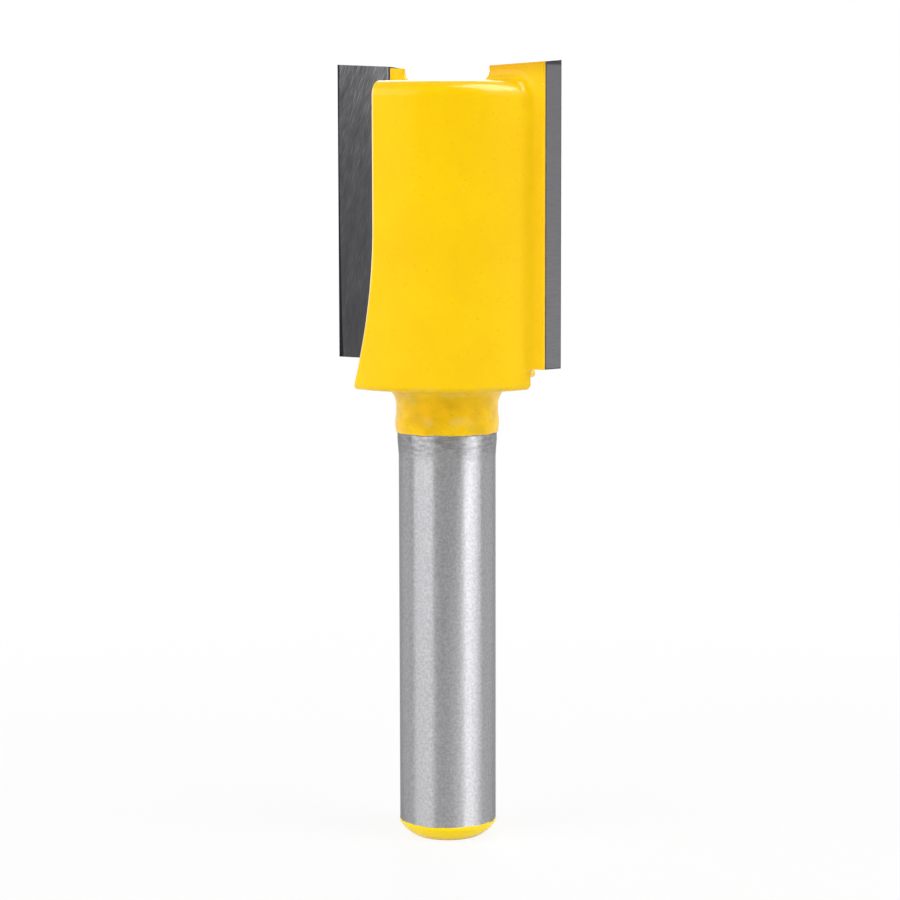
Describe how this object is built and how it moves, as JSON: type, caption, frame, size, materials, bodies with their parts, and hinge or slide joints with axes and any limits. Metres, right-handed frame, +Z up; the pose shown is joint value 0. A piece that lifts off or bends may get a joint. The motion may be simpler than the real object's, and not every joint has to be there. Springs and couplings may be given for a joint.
{
  "type": "router bit",
  "caption": "Straight plunge-style router bit with a plain round shank, a winged cylindrical head and brazed carbide cutting tips.",
  "frame": {"origin": "middle of the flat end face of the shank", "axes": "+Z up the axis of turning to the cutting end; the two cutting edges lie in the XZ plane; seen from the cutting end the bit turns counterclockwise"},
  "size_m": [0.022, 0.0188, 0.0639],
  "materials": {
    "yellow_coat": "gloss",
    "carbide": "satin",
    "braze": "satin"
  },
  "bodies": {
    "root": {"bit_body": "yellow_coat", "cutting_tip_1": "carbide", "cutting_tip_2": "carbide", "braze_seam_1": "braze", "braze_seam_2": "braze"}
  },
  "joints": []
}
